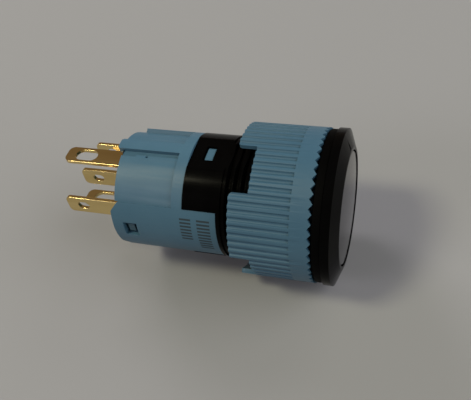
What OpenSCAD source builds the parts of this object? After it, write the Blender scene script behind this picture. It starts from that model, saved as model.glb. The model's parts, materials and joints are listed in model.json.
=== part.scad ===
// Illuminated push button for a round panel hole. The axis lies along Y, the
// lens faces -Y and the top of the switch is +Z. The origin is on the axis at
// the panel seat, which is the rear face of the gasket. Sizes are millimetres.
//
// The modules build along their own z, from the lens back to the terminals,
// and lay_down() turns that z to +Y. A clock angle is read from the top of the
// switch towards its left side (-X), as seen from behind the lens looking aft.

/* [Bezel] */
// Outside diameter of the bezel
bezel_d = 20.5; // [19:0.1:23]
// Length of the sloping front edge of the bezel
bezel_slope = 0.85; // [0.5:0.05:1.4]
// Length of the straight rim behind the slope
bezel_rim = 1.1; // [0.8:0.05:2]
// Width of the flat lip round the lens
lip_w = 0.4; // [0.25:0.05:0.8]
// Thickness of the gasket
gasket_t = 1.1; // [0.6:0.1:1.6]
// How far the edge of the gasket lies inside the bezel
gasket_inset = 0.25; // [0.1:0.05:0.8]
// Width of the gasket's ring
gasket_w = 1.15; // [0.8:0.05:1.2]

/* [Barrel] */
// Diameter over the crests of the barrel's thread
thread_d = 15.9; // [15.6:0.05:16]
// Length of thread behind the panel seat
thread_len = 11.9; // [10:0.1:12.4]
// Diameter of the plain barrel behind the thread
barrel_d = 15.6; // [15.2:0.1:15.8]
// Length of the barrel behind the panel seat
barrel_len = 16.9; // [16.5:0.1:19]
// Bore of the barrel round the button
barrel_bore = 12.6; // [12:0.1:12.8]
// Wider bore behind the button's stop
barrel_rear_bore = 13.2; // [13:0.05:13.6]
// Depth of the flat along the top of the barrel
flat_depth = 0.5; // [0.2:0.05:0.7]
// Length of the latch window in the top of the barrel
window_len = 1.35; // [1:0.05:1.8]
// Width of the latch window
window_w = 2.5; // [1.8:0.1:3]
// Distance from the barrel's rear end to the latch window
window_back = 1.65; // [1.2:0.05:2]

/* [Locking nut] */
// How far the outside of the nut lies inside the bezel's
nut_inset = 0.1; // [0:0.05:0.4]
// Overall length of the nut with its tabs
nut_len = 10.25; // [9:0.05:11]
// Number of locking teeth
teeth = 52; // [40:4:60]
// Height of the locking teeth
tooth_h = 0.47; // [0.2:0.01:0.7]
// Length of the plain band behind the teeth
band_len = 2.1; // [1:0.1:3]
// Number of ribs
ribs = 62; // [50:1:70]
// Angle from the middle of the notch to a groove
rib_turn = 2; // [0:0.5:5]
// Depth of the round grooves between the ribs
groove_depth = 0.24; // [0.1:0.02:0.3]
// Width of the grooves between the ribs
groove_w = 0.6; // [0.5:0.02:0.8]
// Length of thread in the nut
nut_thread = 6.8; // [5:0.1:7.5]
// Wall of the tabs at the rear of the nut
tab_wall = 0.6; // [0.5:0.05:1]
// Radius of the tabs' corners
tab_round = 0.5; // [0.2:0.05:0.8]
// Length of the tabs at the rear of the nut
tab_len = 2.42; // [1:0.05:3]
// Angle taken by each notch between two tabs
notch_angle = 36; // [20:1:50]
// Clock angle of the notch that shows
notch_clock = 20.5; // [0:0.5:45]
// Radial play between the nut and the thread
nut_play = 0.06; // [0.02:0.01:0.1]

/* [Button] */
// Diameter of the lens
lens_d = 14.85; // [14:0.05:15.5]
// Thickness of the face of the lens
lens_t = 0.8; // [0.6:0.05:1]
// How far the edge of the lens lies below the bezel's lip
lens_set = 0.1; // [0.05:0.05:0.2]
// Rise of the domed face of the lens
lens_dome = 0.25; // [0.1:0.05:0.4]
// How far the button goes in
travel = 2; // [1.5:0.1:2.2]
// Radial gap between the lens and the bezel
lens_gap = 0.16; // [0.1:0.01:0.3]
// Radial play of the sliding button in the barrel
slide_play = 0.1; // [0.05:0.01:0.15]
// Wall of the tube that carries the lens
holder_wall = 1.5; // [1.2:0.1:1.7]
// Length of the tube that carries the lens
holder_len = 5.6; // [5:0.1:6.2]
// Thickness of the marking plate
plate_t = 0.5; // [0.3:0.05:0.7]
// Thickness of the diffuser
diffuser_t = 0.8; // [0.5:0.05:1]
// Thickness of the sealing ring in the button's groove
seal_d = 0.7; // [0.5:0.05:0.9]
// Wire of the return spring
spring_wire = 0.45; // [0.3:0.05:0.55]
// Middle diameter of the return spring's coils
spring_d = 7; // [6.8:0.1:7.2]
// Turns of the return spring
spring_turns = 6; // [4:0.5:8]

/* [Lamp] */
// Diameter of the lamp's base
lamp_d = 3.6; // [3:0.1:4]
// Length of the lamp's base
lamp_len = 9; // [8:0.1:10]
// Diameter of the lamp's clear dome
dome_d = 3; // [2.4:0.1:3.4]
// Height of the dome
dome_h = 4; // [3:0.1:5]
// Wall of the lamp socket
socket_wall = 1; // [0.8:0.05:1.1]
// Length of the lamp socket
socket_len = 8; // [7.6:0.1:9]

/* [Contact block] */
// Outside diameter of the contact block
block_d = 16.26; // [16:0.02:16.6]
// Length of the block behind the barrel
block_len = 9.55; // [9:0.05:11]
// How far the left, right and top panels reach past the rest of the block
block_step = 0.55; // [0.3:0.05:1.2]
// Length of the slanted corners of the left and right panels
corner_len = 1; // [0.5:0.05:1.2]
// Width of the slanted corners
corner_w = 1.35; // [0.8:0.05:1.6]
// Length of the collar at the front of the block
collar_len = 1.5; // [1:0.1:2]
// Wall of the block
block_wall = 0.95; // [0.8:0.05:1.2]
// Length of the skirts that reach forward over the barrel
skirt_len = 4.45; // [3:0.05:4.8]
// Thickness of the skirts
skirt_t = 0.85; // [0.6:0.05:1]
// Angle taken by each skirt and the panel behind it
skirt_angle = 63; // [50:1:70]
// Depth of the sunk fields on the left above the skirt and along the bottom
field_depth = 0.3; // [0.1:0.02:0.4]
// Depth of the slot on the left of the top panel and of the field on its right
slot_depth = 0.6; // [0.4:0.05:0.7]
// Clock angle at which the top panel ends and the slot begins
slot_from = 5.5; // [4:0.5:8]
// Clock angle at which the slot ends
slot_to = 12.5; // [11:0.1:15]
// Clock angle, to the right, at which the top panel ends
top_right = 7; // [5:0.5:10]
// Clock angle, to the right, at which the right-hand panel begins
right_panel = 40; // [36:1:50]
// Length of the ledge in the slot
ledge_len = 1.4; // [0.8:0.1:2]
// Length of the tube that plugs into the barrel
spigot_len = 3.8; // [3:0.1:4.2]
// Wall of the tube that plugs into the barrel
spigot_wall = 0.7; // [0.5:0.05:0.8]
// Thickness of the wall across the front of the block
cross_wall = 1; // [0.8:0.1:1.3]
// Thickness of the terminal base
base_t = 1.6; // [1.2:0.1:2]
// How far the terminal base lies inside the rear of the block
base_inset = 0.35; // [0.3:0.05:1]
// Length of the snap window in each side of the block
snap_len = 1.95; // [1.4:0.05:2.2]
// Width of the snap window
snap_w = 2.3; // [1.6:0.1:2.6]
// Clock angle of the left-hand snap window
snap_clock = 87.5; // [85:0.5:95]

/* [Terminals] */
// Width of the terminal blades
blade_w = 2.8; // [2.4:0.1:3]
// Thickness of the terminal blades
blade_t = 0.5; // [0.4:0.05:0.6]
// Length of the switch blades behind the terminal base
blade_out = 8.9; // [7:0.1:10]
// Length of the lamp blades behind the terminal base
lamp_blade_out = 10.1; // [8:0.1:11]
// Distance of the outer switch blades from the axis
row_x = 5.3; // [4.9:0.05:5.4]
// Height of the row of switch blades above the axis
row_z = 1; // [0.5:0.05:1.1]
// Distance of the upper lamp blade from the axis
lamp_z = 5; // [4.7:0.05:5.1]
// Distance of the lower lamp blade from the axis
low_lamp_z = 3.8; // [3.7:0.05:4.2]
// Radius of the corners at the tips of the switch blades
tip_round = 0.7; // [0.4:0.05:1.2]
// Radius of the corners at the tips of the lamp blades
lamp_tip_round = 0.9; // [0.5:0.05:1.2]
// Width of the holes in the switch blades
eye_d = 1.2; // [0.9:0.05:1.6]
// Length of the holes in the switch blades
eye_len = 1.7; // [1.65:0.05:2.4]
// Distance from a switch blade's tip to its hole
eye_edge = 1.6; // [1:0.1:2]
// Width of the long holes in the lamp blades
slot_w = 1.9; // [1:0.05:2]
// Length of the long holes in the lamp blades
slot_len = 3.3; // [2.1:0.1:3.6]
// Distance from a lamp blade's tip to its hole
slot_edge = 1.4; // [1:0.1:1.8]

/* [Contacts] */
// Distance from the pivot of the moving contact to its contact point
arm_len = 3.6; // [3.3:0.05:3.8]
// Thickness of the moving contact's arm
arm_t = 0.3; // [0.2:0.02:0.4]
// Sideways travel of the contact point from one fixed contact to the other
throw = 1.1; // [0.8:0.05:1.2]
// Diameter of the contact rivets
rivet_d = 1.3; // [1:0.1:1.5]
// Height of the contact rivets
rivet_h = 0.35; // [0.25:0.05:0.45]
// Radius of the pivot pin of the moving contact
pivot_r = 0.35; // [0.3:0.01:0.4]

/* [Hidden] */
$fn = 96;

// Shared clearances
eps = 0.01;
fit = 0.05;
gap = 0.1;

// Stations along the axis, counted back from the panel seat
rim_front = -gasket_t - bezel_rim;
front = rim_front - bezel_slope;
rim_back = -gasket_t;
lip_r = lens_d / 2 + lens_gap;
well_depth = lens_t + travel + 2 * gap;
nut_front = fit;
nut_back = nut_front + nut_len;
nut_bore_back = nut_front + nut_thread;
notch_floor = nut_back - tab_len;
barrel_back = barrel_len;
collar_back = barrel_back + collar_len;
block_back = barrel_back + block_len;
panel_back = block_back + block_step;
tongue_reach = 0.2;
tongue_back = panel_back + tongue_reach;
base_back = block_back - base_inset;
base_front = base_back - base_t;

// Radii of the parts that slide or plug into each other
nut_d = bezel_d - 2 * nut_inset;
gasket_r = bezel_d / 2 - gasket_inset;
neck_r = gasket_r - gasket_w - fit;
bore_r = barrel_bore / 2;
rear_bore_r = barrel_rear_bore / 2;
holder_r = bore_r - slide_play;
holder_in = holder_r - holder_wall;
spigot_r = rear_bore_r - gap;
spigot_in = spigot_r - spigot_wall;
block_r = block_d / 2;
cavity_r = block_r - block_wall;
lamp_r = lamp_d / 2;
socket_r = lamp_r + fit + socket_wall;

// Stations of the button's own parts at rest
skirt_of_lens = 2.2;
plate_front = front + lens_t + fit;
diffuser_front = plate_front + plate_t + fit;
holder_front = diffuser_front + diffuser_t + fit;
holder_shoulder = front + lens_t + skirt_of_lens + fit;
holder_back = holder_shoulder + holder_len;
stop_len = 1.2;
stop_front = holder_back - stop_len;
stop_r = rear_bore_r - slide_play;
seal_z = holder_shoulder + 2;
plunger_front = holder_back + fit;
plunger_ring = 1;

// Lamp socket, carried by the wall across the front of the block
wall_set = 0.3;
wall_back = barrel_back + cross_wall + wall_set;
wall_front = wall_back - cross_wall;
socket_back = wall_front;
socket_front = socket_back - socket_len;
seat_flange = 0.6;
seat_drop = 3.3;
seat_front = wall_front - seat_drop;
flange_r = spring_d / 2 + spring_wire / 2 + gap / 2;
socket_floor = 1.2;
lamp_back = socket_back - socket_floor;
fold_inset = 1.4;
lamp_front = lamp_back - lamp_len;

// Legs of the plunger, which pass below the row of switch blades
leg_w = 2.2;
leg_t = 0.9;
leg_top = 0.8;
leg_x = flange_r + gap / 2;

// Moving contact: the pivot is on the common terminal
pivot_drop = 1.3;
pivot_z = base_front - pivot_drop;
pivot_play = 0.06;
eye_wall = 0.4;
leg_trim = 0.6;
drive_share = 0.62;
point_z = pivot_z - arm_len;
tilt = asin(throw / 2 / arm_len);
eye_r = pivot_r + pivot_play + eye_wall;
arm_h = 1.4;
drive_z = pivot_z - drive_share * arm_len;
peg_r = 0.3;
bridge_t = 0.65;
bridge_gap = 0.15;
bridge_top = blade_w / 2 - row_z + bridge_gap;
rivet_tip = 0.3 * rivet_d;
point_x = throw / 2 + (arm_t / 2 + rivet_h) * cos(tilt) + rivet_tip * sin(tilt) + fit;
lip_x = point_x + rivet_h;

// Details of the contact block's shell
shoulder = 1;
ledge_inset = 2.05;
nick_len = 0.35;
right_step = 1.3;
snap_inset = 0.95;
snap_back = block_back - snap_inset;
lug_gap = 0.5;

// Distance of a lamp blade from the axis, by the clock angle of its side
function strip_z(angle) = angle == 0 ? lamp_z : low_lamp_z;

// Direction of a clock angle in the plane across the axis
function clock(a) = -90 - a;

module lay_down() rotate([-90, 0, 0]) children();

// A tube from z0 to z1
module ring(r_out, r_in, z0, z1) {
    translate([0, 0, z0])
        difference() {
            cylinder(r = r_out, h = z1 - z0);
            translate([0, 0, -eps]) cylinder(r = r_in, h = z1 - z0 + 2 * eps);
        }
}

// Flat outline of a pie slice about a clock angle, left hollow inside r_in
module slice_outline(middle, width, r_out, r_in = 0) {
    steps = ceil(width / 30);
    difference() {
        rotate(clock(middle))
            polygon(concat([[0, 0]], [
                for (i = [0:steps])
                    let (a = -width / 2 + width * i / steps)
                    r_out / cos(width / steps / 2) * [cos(a), sin(a)]
            ]));
        if (r_in > 0) circle(r = r_in);
    }
}

// The same slice as a solid from z0 to z1
module slice(middle, width, r_out, z0, z1, r_in = 0) {
    translate([0, 0, z0])
        linear_extrude(z1 - z0)
            slice_outline(middle, width, r_out, r_in);
}

// A box that stands on a clock angle, from radius r0 to r1
module radial_box(angle, r0, r1, width, z0, z1) {
    rotate(clock(angle))
        translate([r0, -width / 2, z0])
            cube([r1 - r0, width, z1 - z0]);
}

// Metal strip of one width, folded through the points [x, z]
module folded_strip(points, t, w) {
    for (i = [0:len(points) - 2]) {
        a = points[i];
        b = points[i + 1];
        low = [min(a.x, b.x) - t / 2, min(a.y, b.y) - t / 2];
        high = [max(a.x, b.x) + t / 2, max(a.y, b.y) + t / 2];
        translate([low.x, -w / 2, low.y])
            cube([high.x - low.x, w, high.y - low.y]);
    }
}

module bezel_barrel() {
    lip_out = lip_r + lip_w;
    flat_y = thread_d / 2 - flat_depth;
    window_front = barrel_back - window_back - window_len;
    color([0.05, 0.05, 0.055])
    lay_down()
    difference() {
        union() {
            rotate_extrude()
                polygon([
                    [0, front], [lip_out, front],
                    [bezel_d / 2, rim_front], [bezel_d / 2, rim_back], [0, rim_back]
                ]);
            translate([0, 0, rim_back - eps])
                cylinder(d = thread_d, h = thread_len - rim_back + eps);
            translate([0, 0, rim_back - eps])
                cylinder(r = neck_r, h = gasket_t - gap);
            translate([0, 0, thread_len - eps])
                cylinder(d = barrel_d, h = barrel_back - thread_len + eps);
        }
        translate([0, 0, front - eps]) cylinder(r = lip_r, h = well_depth + eps);
        translate([0, 0, front]) cylinder(r = bore_r, h = barrel_back - front + 1);
        translate([0, 0, stop_front - fit]) cylinder(r = rear_bore_r, h = barrel_back);
        // Flat that keeps the switch from turning in its panel
        translate([-bezel_d, -bezel_d - flat_y, 0])
            cube([2 * bezel_d, bezel_d, barrel_back + 1]);
        radial_box(0, 0, thread_d, window_w, window_front, window_front + window_len);
        for (side = [90, 270])
            slice(side, skirt_angle + 1, thread_d, barrel_back - skirt_len - fit,
                barrel_back + 1, block_r - skirt_t - fit);
    }
}

module panel_gasket() {
    color([0.08, 0.08, 0.08])
    lay_down()
        ring(gasket_r, neck_r + fit, rim_back, 0);
}

// One tooth gap: a V across the front of the nut
module tooth_gap() {
    half = PI * nut_d / teeth / 2;
    translate([neck_r, 0, 0])
        rotate([90, 0, 90])
            linear_extrude(nut_d / 2)
                polygon([[-half, -eps], [0, tooth_h], [half, -eps]]);
}

// Rounds a corner of a tab, on the edge at a clock angle with the tab beyond it
module tab_corner(angle, side) {
    steps = 5;
    rotate(clock(angle))
        translate([nut_d / 2 - 2 * tab_wall, 0, nut_back - tab_round])
            rotate([90, 0, 90])
                linear_extrude(4 * tab_wall)
                    polygon(concat(
                        [[side * tab_wall, 0]],
                        [
                            for (i = [0:steps])
                                let (t = 90 * i / steps)
                                tab_round * [-side * (1 - cos(t)), sin(t)]
                        ],
                        [[-side * tab_round, 2 * tab_round], [side * tab_wall, 2 * tab_round]]
                    ));
}

module locking_nut() {
    ribs_front = nut_front + tooth_h + band_len;
    groove_r = (groove_w * groove_w / 4 + groove_depth * groove_depth) / 2 / groove_depth;
    color([0.42, 0.62, 0.72])
    lay_down()
    difference() {
        union() {
            translate([0, 0, nut_front])
                cylinder(d = nut_d, h = ribs_front - nut_front + eps);
            translate([0, 0, ribs_front])
                linear_extrude(nut_back - ribs_front)
                    difference() {
                        circle(d = nut_d);
                        for (i = [0:ribs - 1])
                            rotate(clock(notch_clock + rib_turn) + i * 360 / ribs)
                                translate([nut_d / 2 - groove_depth + groove_r, 0])
                                    circle(r = groove_r, $fn = 24);
                    }
        }
        translate([0, 0, -1]) cylinder(r = thread_d / 2 + nut_play, h = nut_back + 2);
        translate([0, 0, nut_bore_back])
            cylinder(r = nut_d / 2 - tab_wall, h = nut_back - nut_bore_back + 1);
        for (i = [0:teeth - 1])
            rotate(clock(notch_clock) + (i + 0.5) * 360 / teeth)
                translate([0, 0, nut_front]) tooth_gap();
        for (i = [0:3])
            slice(notch_clock + 90 * i, notch_angle, nut_d, notch_floor, nut_back + 1);
        for (i = [0:3], side = [-1, 1])
            tab_corner(notch_clock + 90 * i + side * notch_angle / 2, side);
    }
}

module lens() {
    // The face is part of a sphere, seen in section from its edge to its middle
    lens_r = lens_d / 2;
    dome_r = (lens_r * lens_r + lens_dome * lens_dome) / 2 / lens_dome;
    steps = 8;
    color([0.35, 0.35, 0.36])
    lay_down() {
        translate([0, 0, front])
            difference() {
                union() {
                    rotate_extrude()
                        polygon(concat([
                            for (i = [0:steps])
                                let (r = lens_r * i / steps)
                                [r, lens_set - lens_dome + dome_r - sqrt(dome_r * dome_r - r * r)]
                        ], [[lens_r, lens_t], [0, lens_t]]));
                    translate([0, 0, lens_t - eps])
                        cylinder(r = holder_r, h = skirt_of_lens + eps);
                }
                translate([0, 0, lens_t])
                    cylinder(r = holder_r - 0.7, h = skirt_of_lens + 1);
            }
    }
}

module marking_plate() {
    color([0.9, 0.9, 0.88])
    lay_down()
        translate([0, 0, plate_front])
            cylinder(r = holder_r - 0.7 - fit, h = plate_t);
}

module diffuser() {
    color([0.95, 0.95, 0.95])
    lay_down()
        translate([0, 0, diffuser_front])
            cylinder(r = holder_r - 0.7 - fit, h = diffuser_t);
}

module button_holder() {
    color([0.12, 0.12, 0.12])
    lay_down()
    difference() {
        union() {
            translate([0, 0, holder_front])
                cylinder(r = holder_r - 0.7 - fit, h = holder_back - holder_front);
            translate([0, 0, holder_shoulder])
                cylinder(r = holder_r, h = holder_back - holder_shoulder);
            translate([0, 0, stop_front])
                cylinder(r = stop_r, h = stop_len);
        }
        translate([0, 0, front]) cylinder(r = holder_in, h = holder_back - front + 1);
        ring(holder_r + 1, holder_r - seal_d + fit,
            seal_z - seal_d / 2 - fit, seal_z + seal_d / 2 + fit);
    }
}

module button_seal() {
    color([0.1, 0.1, 0.1])
    lay_down()
        translate([0, 0, seal_z])
            rotate_extrude()
                translate([bore_r - fit - seal_d / 2, 0])
                    circle(d = seal_d, $fn = 32);
}

// Ring behind the holder, two legs past the lamp and a bridge with a sloping slot
module contact_plunger() {
    slot_room = peg_r + 0.15;
    bridge_front = wall_back + gap;
    bridge_back = drive_z + slot_room + 0.55;
    slope = throw * drive_share / travel;
    half_w = peg_r / cos(atan(slope)) + gap;
    color([0.93, 0.93, 0.9])
    lay_down()
    difference() {
        union() {
            ring(spigot_in - gap, lamp_r + 0.5, plunger_front, plunger_front + plunger_ring);
            for (side = [-1, 1])
                translate([side * (leg_x + leg_t / 2) - leg_t / 2, leg_top, plunger_front])
                    cube([leg_t, leg_w, bridge_back - plunger_front]);
            translate([-leg_x - leg_t, bridge_top, bridge_front])
                cube([2 * (leg_x + leg_t), bridge_t, bridge_back - bridge_front]);
        }
        // Slot that swings the moving contact across as the plunger goes in
        translate([0, bridge_top + bridge_t / 2, drive_z])
            rotate([90, 0, 0])
                linear_extrude(2 * bridge_t, center = true)
                    polygon([
                        for (p = [[-1, -1], [1, -1], [1, 1], [-1, 1]])
                            let (z = p.y * (travel / 2 + slot_room) - travel / 2)
                            [p.x * half_w + drive_share * throw / 2 + slope * z, z]
                    ]);
    }
}

// The coil's centre line, and its wire as rings of points
function coil_point(a) = let (rise = return_spring_len - spring_wire)
    [spring_d / 2 * cos(a), spring_d / 2 * sin(a),
        spring_wire / 2 + rise * a / (360 * spring_turns)];
return_spring_front = plunger_front + plunger_ring;
return_spring_len = seat_front - return_spring_front;

module return_spring() {
    around = 8;
    steps = round(20 * spring_turns);
    points = [
        for (i = [0:steps], k = [0:around - 1])
            let (a = 360 * spring_turns * i / steps, c = coil_point(a), b = 360 * k / around)
            c + spring_wire / 2 * [cos(b) * cos(a), cos(b) * sin(a), sin(b)]
    ];
    faces = concat(
        [[for (k = [0:around - 1]) k]],
        [[for (k = [around - 1:-1:0]) steps * around + k]],
        [
            for (i = [0:steps - 1], k = [0:around - 1])
                let (n = (k + 1) % around)
                [i * around + k, (i + 1) * around + k, (i + 1) * around + n, i * around + n]
        ]
    );
    color([0.75, 0.76, 0.78])
    lay_down()
        translate([0, 0, return_spring_front])
            polyhedron(points, faces);
}

module lamp_dome() {
    color([0.95, 0.9, 0.85])
    lay_down()
        translate([0, 0, lamp_front]) {
            translate([0, 0, -dome_h + dome_d / 2])
                cylinder(d = dome_d, h = dome_h - dome_d / 2);
            translate([0, 0, -dome_h + dome_d / 2]) sphere(d = dome_d);
        }
}

module lamp_base() {
    color([0.9, 0.9, 0.88])
    lay_down()
        translate([0, 0, lamp_front]) cylinder(r = lamp_r, h = lamp_len);
}

module lamp_socket() {
    color([0.3, 0.3, 0.32])
    lay_down()
    difference() {
        union() {
            translate([0, 0, socket_front]) cylinder(r = socket_r, h = socket_len);
            translate([0, 0, seat_front]) cylinder(r = flange_r, h = seat_flange);
        }
        translate([0, 0, socket_front - 1])
            cylinder(r = lamp_r + fit, h = lamp_back - socket_front + 1);
        for (side = [0, 180])
            radial_box(side, 0, socket_r + 1, blade_w + 2 * gap,
                lamp_back - fold_inset - gap, lamp_back - fold_inset + blade_t + gap);
    }
}

// Cuts a slanted corner off a panel, on the edge at a clock angle with the panel beyond it
module panel_corner(angle, side) {
    slope = corner_len / corner_w;
    rotate(clock(angle))
        translate([cavity_r - 1, 0, panel_back])
            rotate([90, 0, 90])
                linear_extrude(block_wall + 2)
                    polygon([
                        [side * fit, -corner_len - slope * fit], [side * fit, 1],
                        [-side * (corner_w + 1 / slope), 1]
                    ]);
}

module contact_block_case() {
    skirt_front = barrel_back - skirt_len;
    latch_front = barrel_back - window_back - window_len + gap;
    panel_edge = 90 - skirt_angle / 2;
    tongue_w = slot_from + top_right;
    ledge_back = block_back - ledge_inset;
    nick_back = ledge_back - ledge_len;
    right_back = panel_back - right_step;
    color([0.42, 0.62, 0.72])
    lay_down()
    difference() {
        union() {
            // Skirts, collar, cross wall and shell, with the tube that plugs into the barrel
            rotate_extrude()
                polygon([
                    [0, wall_front], [spigot_in, wall_front],
                    [spigot_in, barrel_back - spigot_len], [spigot_r, barrel_back - spigot_len],
                    [spigot_r, barrel_back], [block_r - skirt_t, barrel_back],
                    [block_r - skirt_t, skirt_front], [block_r, skirt_front],
                    [block_r, tongue_back], [cavity_r, tongue_back],
                    [cavity_r, wall_back], [0, wall_back]
                ]);
            // Latch that snaps into the barrel's window
            radial_box(0, spigot_r - 2 * gap, thread_d / 2 - flat_depth - 0.25,
                window_w - 4 * gap, latch_front, latch_front + window_len - 3 * gap);
        }
        // The front is open between the two skirts
        for (side = [0, 180])
            slice(side, 180 - skirt_angle, 2 * block_r, skirt_front - 1, barrel_back,
                block_r - skirt_t - fit);
        // The top panel reaches furthest back, then the side panels, then the rest
        slice(180 + (slot_from - top_right) / 2, 360 - tongue_w + 2 * shoulder, 2 * block_r,
            panel_back, tongue_back + 1);
        slice(180, 180 - skirt_angle, 2 * block_r, block_back, tongue_back + 1);
        slice((slot_from + panel_edge) / 2, panel_edge - slot_from, 2 * block_r,
            block_back, tongue_back + 1);
        panel_corner(panel_edge, 1);
        panel_corner(180 - panel_edge, -1);
        panel_corner(180 + panel_edge, 1);
        // Sunk field on the left with a slot along the top panel
        slice((slot_from + panel_edge) / 2, panel_edge - slot_from, 2 * block_r,
            collar_back, tongue_back + 1, block_r - field_depth);
        slice((slot_from + slot_to) / 2 - 1, slot_to - slot_from - 2, 2 * block_r,
            collar_back, tongue_back + 1, block_r - slot_depth);
        // The slot is wider behind its ledge, and has a nick in front of it
        slice((slot_from + slot_to) / 2 + 0.5, slot_to - slot_from - 1, 2 * block_r,
            ledge_back, tongue_back + 1, block_r - slot_depth);
        slice((slot_from + slot_to) / 2 + 1, slot_to - slot_from - 1, 2 * block_r,
            nick_back - nick_len, nick_back, block_r - slot_depth);
        // Deeper field on the right of the top panel, and the short end of the right-hand panel
        slice(-(top_right + right_panel) / 2, right_panel - top_right, 2 * block_r,
            collar_back, tongue_back + 1, block_r - slot_depth);
        slice(-(right_panel + panel_edge) / 2, panel_edge - right_panel + 2, 2 * block_r,
            right_back, tongue_back + 1, block_r - slot_depth);
        // Snap windows for the terminal base
        for (side = [1, -1])
            radial_box(side * snap_clock, cavity_r - 1, block_r + 1, snap_w,
                snap_back - snap_len, snap_back);
        // Ways through the cross wall for the plunger's legs and the lamp strips
        for (side = [-1, 1])
            translate([side * (leg_x + leg_t / 2) - leg_t / 2 - gap, leg_top - gap, wall_front - 1])
                cube([leg_t + 2 * gap, leg_w + 2 * gap, cross_wall + 2]);
        for (side = [0, 180])
            radial_box(side, strip_z(side) - blade_t / 2 - gap, strip_z(side) + blade_t / 2 + gap,
                blade_w + 2 * gap, wall_front - 1, wall_back + 1);
    }
}

module terminal_base() {
    color([0.36, 0.55, 0.64])
    lay_down()
    difference() {
        union() {
            translate([0, 0, base_front]) cylinder(r = cavity_r - fit, h = base_t);
            for (side = [1, -1])
                radial_box(side * snap_clock, cavity_r - 1, block_r - 4 * gap,
                    snap_w - 2 * lug_gap, snap_back - snap_len + lug_gap, snap_back - lug_gap);
        }
        for (x = [-row_x, 0, row_x])
            translate([x - blade_t / 2 - fit, -row_z - blade_w / 2 - fit, base_front - 1])
                cube([blade_t + 2 * fit, blade_w + 2 * fit, base_t + 2]);
        for (side = [0, 180])
            radial_box(side, strip_z(side) - blade_t / 2 - fit, strip_z(side) + blade_t / 2 + fit,
                blade_w + 2 * fit, base_front - 1, base_back + 1);
    }
}

// Flat outline of a blade with round corners at its tip and a long hole for the wire
module blade_outline(length, corner, hole_w, hole_len, edge) {
    difference() {
        union() {
            translate([-blade_w / 2, 0]) square([blade_w, length - corner]);
            translate([corner - blade_w / 2, 0]) square([blade_w - 2 * corner, length]);
            for (side = [-1, 1])
                translate([side * (blade_w / 2 - corner), length - corner])
                    circle(r = corner, $fn = 48);
        }
        translate([0, length - edge - hole_len + hole_w / 2]) circle(d = hole_w, $fn = 48);
        translate([0, length - edge - hole_w / 2]) circle(d = hole_w, $fn = 48);
        translate([-hole_w / 2, length - edge - hole_len + hole_w / 2])
            square([hole_w, hole_len - hole_w]);
    }
}

// Switch blade: upright, from the front of the base to its tip
module switch_blade(x) {
    translate([x - blade_t / 2, -row_z, base_front])
        rotate([90, 0, 90])
            linear_extrude(blade_t)
                blade_outline(base_t + blade_out, tip_round, eye_d, eye_len, eye_edge);
}

// Inside leg of an outer switch terminal, folded in towards the middle
module switch_leg(side) {
    lip_end = point_z + rivet_d / 2 + 0.2;
    fold_z = point_z - rivet_d / 2 - 0.4;
    translate([0, -row_z, 0])
        folded_strip([
            [side * row_x, base_front + blade_t / 2], [side * row_x, fold_z],
            [side * (lip_x + blade_t / 2), fold_z], [side * (lip_x + blade_t / 2), lip_end]
        ], blade_t, blade_w - leg_trim);
}

module common_terminal() {
    ear = (blade_w - arm_h) / 2 - gap;
    color([0.85, 0.7, 0.35])
    lay_down() {
        switch_blade(0);
        for (side = [-1, 1])
            translate([0, -row_z + side * (blade_w - ear) / 2, 0]) {
                translate([-blade_t / 2, -ear / 2, pivot_z])
                    cube([blade_t, ear, base_front - pivot_z + eps]);
                translate([0, -ear / 2, pivot_z])
                    rotate([-90, 0, 0]) cylinder(r = eye_r - 0.05, h = ear, $fn = 32);
            }
        translate([0, -row_z - blade_w / 2, pivot_z])
            rotate([-90, 0, 0]) cylinder(r = pivot_r, h = blade_w, $fn = 32);
    }
}

module normally_open_terminal() {
    color([0.85, 0.7, 0.35])
    lay_down() {
        switch_blade(-row_x);
        switch_leg(-1);
    }
}

module normally_closed_terminal() {
    color([0.85, 0.7, 0.35])
    lay_down() {
        switch_blade(row_x);
        switch_leg(1);
    }
}

// Lamp blade with its strip that runs forward and folds in to the lamp's base
module lamp_terminal(side) {
    angle = side > 0 ? 0 : 180;
    place = strip_z(angle);
    fold_z = lamp_back - fold_inset + blade_t / 2;
    color([0.85, 0.7, 0.35])
    lay_down() {
        translate([0, -side * place - blade_t / 2, base_front])
            rotate([90, 0, 0])
                mirror([0, 0, 1])
                    linear_extrude(blade_t)
                        blade_outline(base_t + lamp_blade_out, lamp_tip_round,
                            slot_w, slot_len, slot_edge);
        rotate(clock(angle))
            folded_strip([
                [place, base_front + blade_t / 2], [place, fold_z],
                [lamp_r + fit + blade_t / 2, fold_z]
            ], blade_t, blade_w);
    }
}

module upper_lamp_terminal() lamp_terminal(1);

module lower_lamp_terminal() lamp_terminal(-1);

// Places a piece on the arm as it lies at rest, closed on the right-hand side
module on_arm() {
    translate([0, -row_z, pivot_z]) rotate([0, -tilt, 0]) children();
}

module moving_contact() {
    color([0.8, 0.5, 0.3])
    lay_down()
    on_arm()
    difference() {
        union() {
            translate([-arm_t / 2, -arm_h / 2, -arm_len - rivet_d / 2])
                cube([arm_t, arm_h, arm_len + rivet_d / 2]);
            rotate([90, 0, 0]) cylinder(r = eye_r, h = arm_h, center = true, $fn = 32);
            // Peg that runs in the plunger's sloping slot
            translate([0, 0, -drive_share * arm_len])
                rotate([-90, 0, 0])
                    cylinder(r = peg_r, h = row_z + bridge_top + bridge_t, $fn = 32);
        }
        rotate([90, 0, 0])
            cylinder(r = pivot_r + pivot_play, h = 2 * arm_h, center = true, $fn = 32);
    }
}

module moving_contact_points() {
    color([0.85, 0.85, 0.83])
    lay_down()
    on_arm()
        for (side = [-1, 1])
            translate([side * arm_t / 2, 0, -arm_len])
                rotate([0, side * 90, 0])
                    cylinder(r1 = rivet_d / 2, r2 = rivet_tip, h = rivet_h, $fn = 32);
}

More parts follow.
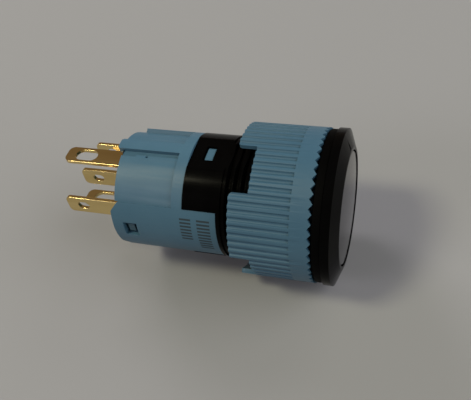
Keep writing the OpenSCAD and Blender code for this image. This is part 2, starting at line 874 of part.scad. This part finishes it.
module fixed_point(side) {
    color([0.85, 0.85, 0.83])
    lay_down()
        translate([side * (lip_x - rivet_h / 2), -row_z, point_z])
            rotate([0, 90, 0]) cylinder(d = rivet_d, h = rivet_h, center = true, $fn = 32);
}

module normally_open_point() fixed_point(-1);

module normally_closed_point() fixed_point(1);

bezel_barrel();
panel_gasket();
locking_nut();
lens();
marking_plate();
diffuser();
button_holder();
button_seal();
contact_plunger();
return_spring();
lamp_dome();
lamp_base();
lamp_socket();
contact_block_case();
terminal_base();
common_terminal();
normally_open_terminal();
normally_closed_terminal();
upper_lamp_terminal();
lower_lamp_terminal();
moving_contact();
moving_contact_points();
normally_open_point();
normally_closed_point();
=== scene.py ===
import json
import math
from contextlib import contextmanager

import bmesh
import bpy
from mathutils import Matrix, Vector


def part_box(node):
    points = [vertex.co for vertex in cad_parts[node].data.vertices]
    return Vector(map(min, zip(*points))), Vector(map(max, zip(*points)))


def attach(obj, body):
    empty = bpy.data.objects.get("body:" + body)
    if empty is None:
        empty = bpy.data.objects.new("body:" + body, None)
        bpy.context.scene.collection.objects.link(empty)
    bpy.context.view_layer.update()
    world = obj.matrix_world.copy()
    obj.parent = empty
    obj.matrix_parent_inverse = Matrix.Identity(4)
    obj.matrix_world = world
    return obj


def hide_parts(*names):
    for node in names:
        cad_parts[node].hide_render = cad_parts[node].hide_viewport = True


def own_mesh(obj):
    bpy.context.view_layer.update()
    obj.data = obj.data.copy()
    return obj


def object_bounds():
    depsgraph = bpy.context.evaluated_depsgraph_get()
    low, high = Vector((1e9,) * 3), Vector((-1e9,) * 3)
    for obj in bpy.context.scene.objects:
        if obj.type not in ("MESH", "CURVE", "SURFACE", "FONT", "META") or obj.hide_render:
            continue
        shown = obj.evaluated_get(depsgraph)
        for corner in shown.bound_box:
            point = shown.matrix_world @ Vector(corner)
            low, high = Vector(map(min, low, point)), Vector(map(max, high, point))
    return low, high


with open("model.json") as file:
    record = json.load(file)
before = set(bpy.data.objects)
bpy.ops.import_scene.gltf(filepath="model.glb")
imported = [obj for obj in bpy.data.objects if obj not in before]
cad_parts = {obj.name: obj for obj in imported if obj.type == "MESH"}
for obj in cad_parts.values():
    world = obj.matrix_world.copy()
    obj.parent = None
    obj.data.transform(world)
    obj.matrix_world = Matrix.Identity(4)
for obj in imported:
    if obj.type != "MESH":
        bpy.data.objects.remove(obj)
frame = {"nodes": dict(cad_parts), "record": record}
cad_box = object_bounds()
scene = bpy.context.scene

# Sizes are in mm unless a comment says otherwise, and MM takes them to the frame's metres
MM = 0.001
# The switch's axis, from the lens back to the terminals
AXIS = Vector((0, 1, 0))


def add_to_scene(name, data):
    """A new object at the origin."""
    made = bpy.data.objects.new(name, data)
    scene.collection.objects.link(made)
    return made


# Camera: the photograph's view, from the left of the switch and well above it

CAMERA_PLACE = Vector((-55.3, -12.5, 64.1)) * MM
# Directions of the picture's right side and of its top
CAMERA_RIGHT = Vector((0.2634, -0.9542, -0.1420))
CAMERA_UP = Vector((0.7373, 0.1042, 0.6675))
CAMERA_LENS = 49.7
CAMERA_SENSOR = 36
# Nearest and farthest that it sees, in metres
CAMERA_NEAR = 0.005
CAMERA_FAR = 20


def add_camera():
    right = CAMERA_RIGHT.normalized()
    back = right.cross(CAMERA_UP).normalized()
    up = back.cross(right)
    data = bpy.data.cameras.new("camera")
    data.lens = CAMERA_LENS
    data.sensor_width = CAMERA_SENSOR
    data.clip_start = CAMERA_NEAR
    data.clip_end = CAMERA_FAR
    camera = add_to_scene("camera", data)
    turn = Matrix((right, up, back)).transposed()
    camera.matrix_world = Matrix.Translation(CAMERA_PLACE) @ turn.to_4x4()
    scene.camera = camera


# Materials

# Range in which most of a noise's values lie
NOISE_LOW = 0.3
NOISE_HIGH = 0.7

# Mouldings: clouding of the tone, fine grain, how far the roughness varies, and the grain's depth.
# Scales of noise are per metre
PLASTIC_CLOUD = {"scale": 180, "detail": 4}
PLASTIC_GRAIN = {"scale": 9000, "detail": 2}
PLASTIC_SPREAD = 0.06
PLASTIC_BUMP = {"strength": 0.08, "depth": 0.02}

# The same for metal. The blades are rolled lengthways, and change less that way
METAL_CLOUD = {"scale": 500, "detail": 3}
METAL_GRAIN = {"scale": 2500, "detail": 2}
METAL_SPREAD = 0.08
METAL_BUMP = {"strength": 0.15, "depth": 0.03}
ROLLED = (1, 0.2, 1)
EVEN = (1, 1, 1)


def srgb(r, g, b):
    """A colour written as 0 to 255 screen values, as linear light."""
    def linear(v):
        v /= 255
        return v / 12.92 if v <= 0.04045 else ((v + 0.055) / 1.055) ** 2.4
    return (linear(r), linear(g), linear(b), 1)


def new_material(name):
    material = bpy.data.materials.new(name)
    material.use_nodes = True
    tree = material.node_tree
    return material, tree, tree.nodes["Principled BSDF"]


def noise(tree, scale, detail, stretch=EVEN):
    """Noise on the piece's own coordinates, stretched along an axis where asked."""
    coords = tree.nodes.new("ShaderNodeTexCoord")
    mapping = tree.nodes.new("ShaderNodeMapping")
    mapping.inputs["Scale"].default_value = stretch
    texture = tree.nodes.new("ShaderNodeTexNoise")
    texture.inputs["Scale"].default_value = scale
    texture.inputs["Detail"].default_value = detail
    tree.links.new(coords.outputs["Object"], mapping.inputs["Vector"])
    tree.links.new(mapping.outputs["Vector"], texture.inputs["Vector"])
    return texture.outputs["Fac"]


def between(tree, value, low, high):
    """A noise's value, taken to lie between low and high."""
    node = tree.nodes.new("ShaderNodeMapRange")
    node.inputs["From Min"].default_value = NOISE_LOW
    node.inputs["From Max"].default_value = NOISE_HIGH
    node.inputs["To Min"].default_value = low
    node.inputs["To Max"].default_value = high
    tree.links.new(value, node.inputs["Value"])
    return node.outputs["Result"]


def two_tones(tree, value, dark, light):
    """Dark where value is 0, and light where it is 1."""
    mix = tree.nodes.new("ShaderNodeMix")
    mix.data_type = "RGBA"
    mix.inputs["A"].default_value = dark
    mix.inputs["B"].default_value = light
    tree.links.new(value, mix.inputs["Factor"])
    return mix.outputs["Result"]


def clouded(tree, shader, cloud, dark, light):
    """Colours the surface between two near tones."""
    tone = two_tones(tree, between(tree, cloud, 0, 1), dark, light)
    tree.links.new(tone, shader.inputs["Base Color"])


def satin(tree, shader, grain, roughness, spread):
    """Varies the gloss a little about its middle."""
    gloss = between(tree, grain, roughness - spread, roughness + spread)
    tree.links.new(gloss, shader.inputs["Roughness"])


def uneven(tree, shader, value, strength, depth):
    """Gives the surface a slight unevenness."""
    bump = tree.nodes.new("ShaderNodeBump")
    bump.inputs["Strength"].default_value = strength
    bump.inputs["Distance"].default_value = depth * MM
    tree.links.new(value, bump.inputs["Height"])
    tree.links.new(bump.outputs["Normal"], shader.inputs["Normal"])


def moulded(name, dark, light, roughness, specular=0.5):
    """Moulded plastic: faint clouding of the colour and a fine satin grain."""
    material, tree, shader = new_material(name)
    grain = noise(tree, **PLASTIC_GRAIN)
    clouded(tree, shader, noise(tree, **PLASTIC_CLOUD), dark, light)
    satin(tree, shader, grain, roughness, PLASTIC_SPREAD)
    uneven(tree, shader, grain, **PLASTIC_BUMP)
    shader.inputs["Specular IOR Level"].default_value = specular
    return material


def metal(name, dark, light, roughness, stretch=EVEN):
    """Plated or drawn metal: tone and gloss vary a little along the rolling direction."""
    material, tree, shader = new_material(name)
    cloud = noise(tree, stretch=stretch, **METAL_CLOUD)
    clouded(tree, shader, cloud, dark, light)
    satin(tree, shader, noise(tree, stretch=stretch, **METAL_GRAIN), roughness, METAL_SPREAD)
    uneven(tree, shader, cloud, **METAL_BUMP)
    shader.inputs["Metallic"].default_value = 1
    return material


# Each look: its darker and its lighter tone, and its roughness
LOOKS = {
    "bezel_black": moulded("black moulding", srgb(3, 3, 3), srgb(7, 7, 7), 0.17, specular=0.03),
    "gasket_rubber": moulded("black rubber", srgb(3, 3, 3), srgb(6, 6, 6), 0.6, specular=0.03),
    "nut_blue": moulded("grey-blue nut", srgb(67, 102, 123), srgb(73, 108, 128), 0.42, specular=0.35),
    "lens_grey": moulded("dark grey lens", srgb(34, 34, 35), srgb(39, 39, 39), 0.12, specular=0.62),
    "plate_white": moulded("white plate", srgb(222, 221, 216), srgb(230, 229, 224), 0.5),
    "diffuser_clear": moulded("frosted plate", srgb(225, 226, 228), srgb(233, 234, 236), 0.6),
    "holder_black": moulded("black holder", srgb(18, 18, 19), srgb(25, 25, 26), 0.5, specular=0.3),
    "plunger_white": moulded("natural moulding", srgb(226, 224, 214), srgb(233, 231, 222), 0.45),
    "spring_steel": metal("spring wire", srgb(170, 172, 176), srgb(196, 198, 202), 0.3),
    "lamp_glass": moulded("clear dome", srgb(235, 230, 222), srgb(240, 236, 230), 0.1),
    "lamp_white": moulded("white lamp base", srgb(225, 225, 222), srgb(232, 232, 230), 0.4),
    "socket_dark": moulded("dark socket", srgb(60, 60, 63), srgb(68, 68, 72), 0.5),
    "block_blue": moulded("grey-blue block", srgb(70, 106, 127), srgb(76, 112, 132), 0.45, specular=0.35),
    "base_blue": moulded("deep blue base", srgb(60, 88, 102), srgb(66, 94, 108), 0.5, specular=0.3),
    "blade_gold": metal("gold plating", srgb(220, 192, 126), srgb(238, 214, 150), 0.17, ROLLED),
    "contact_copper": metal("spring copper", srgb(180, 120, 80), srgb(205, 145, 100), 0.3),
    "point_silver": metal("silver rivet", srgb(200, 200, 198), srgb(220, 220, 218), 0.3),
}
# Colour of the bars on the left skirt
INK = moulded("grey ink", srgb(52, 64, 70), srgb(58, 70, 76), 0.6, specular=0.2)


def give_look(piece, slot):
    piece.data.materials.clear()
    piece.data.materials.append(LOOKS[slot])


# Pieces

BODIES = frame["record"]["behaviour"]["bodies"]
BODY_OF = {node: body for body, nodes in BODIES.items() for node in nodes}
NODE_SLOT = {row["node"]: row["material_slot"] for row in frame["record"]["subparts"]}

# Points nearer to each other than this are one
MERGE = 0.0005
# Faces that turn by less than this, in degrees, are one
FLAT_WITHIN = 0.4
# Edges that turn by more than this, in degrees, are rounded, in so many steps
EDGE_FROM = 28
ROUND_STEPS = 2


@contextmanager
def edit(mesh):
    """A mesh opened for bmesh operators, and written back after them."""
    bm = bmesh.new()
    bm.from_mesh(mesh)
    yield bm
    bm.to_mesh(mesh)
    bm.free()


def merge(bm):
    """Joins points that lie on each other."""
    bmesh.ops.remove_doubles(bm, verts=bm.verts, dist=MERGE * MM)


def wind(bm, turns, steps_per_turn, rise):
    """Sweeps what is in bm about the axis into a closed helix that goes back by rise each turn."""
    bmesh.ops.spin(bm, geom=list(bm.faces) + list(bm.verts) + list(bm.edges), cent=(0, 0, 0),
                   axis=AXIS, dvec=(0, rise * MM / steps_per_turn, 0), angle=math.tau * turns,
                   steps=turns * steps_per_turn, use_merge=False, use_duplicate=False)
    merge(bm)
    bmesh.ops.recalc_face_normals(bm, faces=bm.faces)


def even_shading(piece):
    """Lets the broad faces rule the shading next to their edges."""
    even = piece.modifiers.new("even shading", "WEIGHTED_NORMAL")
    even.keep_sharp = True
    return even


def rounded_copy(node, width, edge_from=EDGE_FROM):
    """A copy of a solid with its edges rounded to width. It stands for the solid."""
    mesh = frame["nodes"][node].data.copy()
    with edit(mesh) as bm:
        merge(bm)
        bmesh.ops.dissolve_limit(bm, angle_limit=math.radians(FLAT_WITHIN), verts=bm.verts,
                                 edges=bm.edges)
    piece = add_to_scene(node + "_finished", mesh)
    bevel = piece.modifiers.new("rounded edges", "BEVEL")
    bevel.width = width * MM
    bevel.segments = ROUND_STEPS
    bevel.limit_method = "ANGLE"
    bevel.angle_limit = math.radians(edge_from)
    bevel.harden_normals = True
    bevel.use_clamp_overlap = True
    mesh.shade_smooth()
    mesh.set_sharp_from_angle(angle=math.radians(edge_from))
    give_look(piece, NODE_SLOT[node])
    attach(piece, BODY_OF[node])
    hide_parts(node)
    return piece


# Pieces that need no more than rounded edges, and the width of the rounding
EDGE_WIDTHS = {
    "panel_gasket": 0.15, "lens": 0.15, "terminal_base": 0.08, "common_terminal": 0.06,
    "normally_open_terminal": 0.06, "normally_closed_terminal": 0.06,
    "upper_lamp_terminal": 0.06, "lower_lamp_terminal": 0.06,
}


# Bezel and threaded barrel

BARREL_EDGE = 0.12
BARREL_EDGE_FROM = 12
# Crests of the thread, plain part behind them and height of the flat: in the solid, and on the
# finished barrel, which is as full as the photograph shows it
SOLID_CREST_R = 7.95
SOLID_PLAIN_R = 7.8
SOLID_FLAT_Z = 7.45
CREST_R = 8.0
PLAIN_R = 8.2
FLAT_Z = 7.72
# A point this near to one of them belongs to it
NEAR = 0.01
# The thread is 16 mm metric with 1 mm pitch
ROOT_R = 7.42
PITCH = 1.0
# The groove starts this far behind the panel seat. It has so many turns, and steps in each
THREAD_FROM = 0.4
THREAD_TURNS = 11
THREAD_STEPS = 72
# One side of the groove's section: radius, and half the groove's width there. It flares at the
# crests and goes on a little past them
GROOVE = ((ROOT_R, 0.08), (CREST_R - 0.05, 0.36), (CREST_R, 0.42), (CREST_R + 0.3, 0.42))


def thread_groove():
    """The helical groove between the barrel's threads, as a closed body."""
    mesh = bpy.data.meshes.new("thread groove")
    outline = [(r, -half) for r, half in GROOVE] + [(r, half) for r, half in reversed(GROOVE)]
    with edit(mesh) as bm:
        corners = [bm.verts.new((r * MM, (THREAD_FROM + y) * MM, 0)) for r, y in outline]
        bm.faces.new(corners)
        wind(bm, THREAD_TURNS, THREAD_STEPS, PITCH)
    return add_to_scene("thread_groove", mesh)


def filled_out(x, z):
    """Where a point of the solid barrel's section lies on the finished barrel."""
    r = math.hypot(x, z)
    on_flat = abs(z - SOLID_FLAT_Z) < NEAR
    for solid_r, finished_r in ((SOLID_CREST_R, CREST_R), (SOLID_PLAIN_R, PLAIN_R)):
        if abs(r - solid_r) < NEAR:
            grow = finished_r / r
            if on_flat or z * grow > FLAT_Z:
                return math.copysign(math.sqrt(finished_r ** 2 - FLAT_Z ** 2), x), FLAT_Z
            return x * grow, z * grow
    return x, FLAT_Z if on_flat else z


def fill_out(mesh):
    """Brings the barrel's crests, plain part and flat out to the finished sizes."""
    with edit(mesh) as bm:
        for vert in bm.verts:
            x, y, z = vert.co / MM
            new_x, new_z = filled_out(x, z)
            if (new_x, new_z) != (x, z):
                vert.co = Vector((new_x, y, new_z)) * MM
        merge(bm)


def settle(piece):
    """Turns a piece and its modifiers into one plain mesh."""
    depsgraph = bpy.context.evaluated_depsgraph_get()
    mesh = bpy.data.meshes.new_from_object(piece.evaluated_get(depsgraph))
    piece.modifiers.clear()
    piece.data = mesh


def threaded_barrel():
    """The bezel and barrel, with the groove of the thread cut into it."""
    piece = rounded_copy("bezel_barrel", BARREL_EDGE, BARREL_EDGE_FROM)
    fill_out(piece.data)
    groove = thread_groove()
    cut = piece.modifiers.new("thread", "BOOLEAN")
    cut.operation = "DIFFERENCE"
    cut.solver = "EXACT"
    cut.object = groove
    even_shading(piece)
    settle(piece)
    bpy.data.objects.remove(groove)


# Locking nut

NUT_EDGE = 0.05
# Behind the gasket, teeth lie before the first of these and ribs behind the second
TEETH_TO = 0.6
RIBS_FROM = 2.66
# Behind the teeth, edges that turn by less than this, in degrees, are shaded as round
RIB_EDGE_FROM = 84


def ribbed_nut():
    """The nut with its ribs shaded as round ridges, while the teeth keep their crisp edges."""
    piece = rounded_copy("locking_nut", NUT_EDGE, RIB_EDGE_FROM)
    mesh = piece.data
    with edit(mesh) as bm:
        for edge in bm.edges:
            if len(edge.link_faces) == 2:
                on_teeth = min(vert.co.y for vert in edge.verts) < TEETH_TO * MM
                limit = EDGE_FROM if on_teeth else RIB_EDGE_FROM
                edge.smooth = edge.calc_face_angle() < math.radians(limit)
    ribs = piece.vertex_groups.new(name="ribs")
    ribs.add([v.index for v in mesh.vertices if v.co.y > RIBS_FROM * MM], 1, "REPLACE")
    even = even_shading(piece)
    even.vertex_group = "ribs"
    even.invert_vertex_group = True


# Case of the contact block

CASE_EDGE = 0.1
# Corners of a box round the latch's outer face, in the barrel's window
LATCH_LOW = (-1.06, 13.98, 7.1)
LATCH_HIGH = (1.06, 15.07, 7.25)
# How far that face comes up towards the barrel's flat, and how much wider it gets
LATCH_LIFT = 0.32
LATCH_WIDEN = 1.08


def block_case():
    """The case of the contact block, with its latch just under the barrel's flat."""
    piece = rounded_copy("contact_block_case", CASE_EDGE)
    for vert in piece.data.vertices:
        if all(low < place / MM < high for low, place, high in zip(LATCH_LOW, vert.co, LATCH_HIGH)):
            vert.co.x *= LATCH_WIDEN
            vert.co.z += LATCH_LIFT * MM


# Return spring

# The wire's thickness, the middle diameter of its coils, its turns, and the steps in each
SPRING_WIRE = 0.45
SPRING_D = 7
SPRING_TURNS = 6
SPRING_STEPS = 32
WIRE_SIDES = 12
# The cut ends of the wire turn by more than this, in degrees
WIRE_END_FROM = 60


def coil_spring():
    """The return spring in round wire, wound over the length of the spring in the solid."""
    low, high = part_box("return_spring")
    length = (high[1] - low[1]) / MM
    mesh = bpy.data.meshes.new("coil spring")
    with edit(mesh) as bm:
        bmesh.ops.create_circle(bm, cap_ends=True, segments=WIRE_SIDES, radius=SPRING_WIRE / 2 * MM)
        bmesh.ops.translate(bm, verts=bm.verts,
                            vec=(SPRING_D / 2 * MM, low[1] + SPRING_WIRE / 2 * MM, 0))
        wind(bm, SPRING_TURNS, SPRING_STEPS, (length - SPRING_WIRE) / SPRING_TURNS)
    mesh.shade_smooth()
    mesh.set_sharp_from_angle(angle=math.radians(WIRE_END_FROM))
    piece = add_to_scene("return_spring_finished", mesh)
    give_look(piece, "spring_steel")
    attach(piece, "housing")
    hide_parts("return_spring")
    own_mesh(piece)


# Two columns of plain bars on the left skirt

SKIRT_R = 8.13
# How far the bars lie above the skirt
INK_HEIGHT = 0.012
# Share of the distance from bar to bar that is ink, and the steps of a bar's curve
BAR_SHARE = 0.5
BAR_STEPS = 3


def add_column(bm, clock, front, rear, bars):
    """Bars along the axis from front to rear, spread over a range of clock angles in degrees."""
    first, last = clock
    r = (SKIRT_R + INK_HEIGHT) * MM
    pitch = (last - first) / (bars - 1 + BAR_SHARE)
    for bar in range(bars):
        start = math.radians(first + bar * pitch)
        x = -r * math.sin(start)
        z = r * math.cos(start)
        ends = [bm.verts.new((x, y * MM, z)) for y in (front, rear)]
        edge = bm.edges.new(ends)
        bmesh.ops.spin(bm, geom=[edge] + ends, cent=(0, 0, 0), axis=AXIS, dvec=(0, 0, 0),
                       angle=-math.radians(pitch * BAR_SHARE), steps=BAR_STEPS,
                       use_merge=False, use_duplicate=False)


def printed_bars():
    """Bars that lie a hair above the skirt and follow its curve."""
    mesh = bpy.data.meshes.new("printed bars")
    with edit(mesh) as bm:
        add_column(bm, clock=(67, 91), front=15.8, rear=17.3, bars=7)
        add_column(bm, clock=(67, 103), front=13.25, rear=15.0, bars=10)
        bmesh.ops.recalc_face_normals(bm, faces=bm.faces)
    piece = add_to_scene("printed_bars", mesh)
    mesh.materials.append(INK)
    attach(piece, "housing")


# Floor

FLOOR_LEVEL = cad_box[0][2]
# How far it reaches each way from the origin, in metres
FLOOR_REACH = 0.6
FLOOR_TONE = srgb(158, 158, 158)
FLOOR_ROUGHNESS = 0.9
FLOOR_SPECULAR = 0.1


def add_floor():
    mesh = bpy.data.meshes.new("floor")
    with edit(mesh) as bm:
        bmesh.ops.create_grid(bm, x_segments=1, y_segments=1, size=FLOOR_REACH)
        bmesh.ops.translate(bm, verts=bm.verts, vec=(0, 0, FLOOR_LEVEL))
    floor = add_to_scene("floor", mesh)
    material, _, shader = new_material("floor")
    shader.inputs["Base Color"].default_value = FLOOR_TONE
    shader.inputs["Roughness"].default_value = FLOOR_ROUGHNESS
    shader.inputs["Specular IOR Level"].default_value = FLOOR_SPECULAR
    mesh.materials.append(material)


# Lamps

# Point at which they aim, in metres
LAMP_AIM = Vector((0, 0.01, 0))


def add_lamp(name, azimuth, height, distance, width, power, colour, glints=False):
    """A square lamp. Azimuth from +X and height above the floor are in degrees, distance and width
    in metres and power in watts. Only a lamp that glints is mirrored by metal and gloss."""
    data = bpy.data.lights.new(name, "AREA")
    data.size = width
    data.energy = power
    data.color = colour
    lamp = add_to_scene(name, data)
    height = math.radians(height)
    around = Matrix.Rotation(math.radians(azimuth), 3, "Z")
    lamp.location = around @ (Vector((math.cos(height), 0, math.sin(height))) * distance)
    lamp.rotation_euler = (LAMP_AIM - lamp.location).to_track_quat("-Z", "Y").to_euler()
    lamp.visible_glossy = glints


def add_lamps():
    add_lamp("warm lamp", azimuth=120, height=56, distance=0.9, width=0.2, power=3.05,
             colour=(1, 0.96, 0.69), glints=True)
    add_lamp("left window", azimuth=135, height=28, distance=0.7, width=0.25, power=0.95,
             colour=(0.95, 0.91, 1), glints=True)
    add_lamp("far window", azimuth=45, height=28, distance=0.7, width=0.25, power=1.85,
             colour=(0.98, 0.93, 0.99))
    add_lamp("far wall", azimuth=345, height=25, distance=0.9, width=0.5, power=1.1,
             colour=(1, 0.98, 0.9))
    add_lamp("right wall", azimuth=270, height=30, distance=0.9, width=1.0, power=7.2,
             colour=(0.97, 0.97, 1))


# Light from all round, what metal and gloss mirror of the room, and the wall that low views see
ROOM_LIGHT = (0.05, 0.045, 0.045, 1)
ROOM_MIRRORED = (0.17, 0.13, 0.10, 1)
ROOM_SEEN = srgb(160, 158, 154)


def add_room():
    """The room: what it gives as light, what is mirrored of it, and what is seen beyond the floor."""
    world = bpy.data.worlds.new("room")
    world.use_nodes = True
    tree = world.node_tree
    ray = tree.nodes.new("ShaderNodeLightPath")
    tone = two_tones(tree, ray.outputs["Is Glossy Ray"], ROOM_LIGHT, ROOM_MIRRORED)
    seen = two_tones(tree, ray.outputs["Is Camera Ray"], ROOM_LIGHT, ROOM_SEEN)
    tree.links.new(tone, seen.node.inputs["A"])
    background = tree.nodes["Background"]
    tree.links.new(seen, background.inputs["Color"])
    background.inputs["Strength"].default_value = 1
    scene.world = world


add_camera()
for node, node_object in frame["nodes"].items():
    give_look(node_object, NODE_SLOT[node])
for node, width in EDGE_WIDTHS.items():
    rounded_copy(node, width)
threaded_barrel()
ribbed_nut()
block_case()
coil_spring()
printed_bars()
add_floor()
add_lamps()
add_room()

scene.view_settings.view_transform = "Standard"
